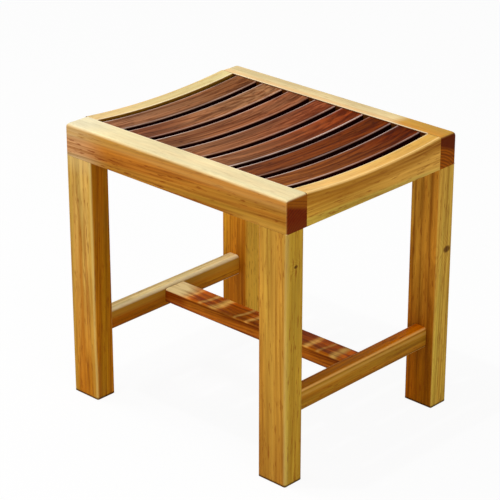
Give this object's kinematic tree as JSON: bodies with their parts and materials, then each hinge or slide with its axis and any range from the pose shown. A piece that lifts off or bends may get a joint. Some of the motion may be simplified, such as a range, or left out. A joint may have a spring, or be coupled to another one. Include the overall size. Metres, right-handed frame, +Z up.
{
  "type": "shower stool",
  "caption": "Backless wooden shower stool: a pale frame on square-cut legs with low stretchers, and a dished seat of dark slats with drain gaps.",
  "frame": {"origin": "on the floor, under the middle of the stool's outer box", "axes": "+X to the right along the long rails, the front at -Y, +Z up"},
  "size_m": [0.4, 0.332, 0.4],
  "materials": {
    "frame_wood": "satin oiled pale golden hardwood with straight grain",
    "slat_wood": "satin oiled dark brown hardwood with fine straight grain",
    "dowel_wood": "plain turned hardwood, glued in and hidden"
  },
  "bodies": {
    "root": {"front_left_leg": "frame_wood", "front_right_leg": "frame_wood", "back_left_leg": "frame_wood", "back_right_leg": "frame_wood", "front_rail": "frame_wood", "back_rail": "frame_wood", "left_rail": "frame_wood", "right_rail": "frame_wood", "left_stretcher": "frame_wood", "right_stretcher": "frame_wood", "center_stretcher": "frame_wood", "slat_1": "slat_wood", "slat_2": "slat_wood", "slat_3": "slat_wood", "slat_4": "slat_wood", "slat_5": "slat_wood", "slat_6": "slat_wood", "slat_7": "slat_wood", "leg_top_dowels": "dowel_wood", "rail_corner_dowels": "dowel_wood", "side_stretcher_dowels": "dowel_wood", "center_stretcher_dowels": "dowel_wood"}
  },
  "joints": []
}
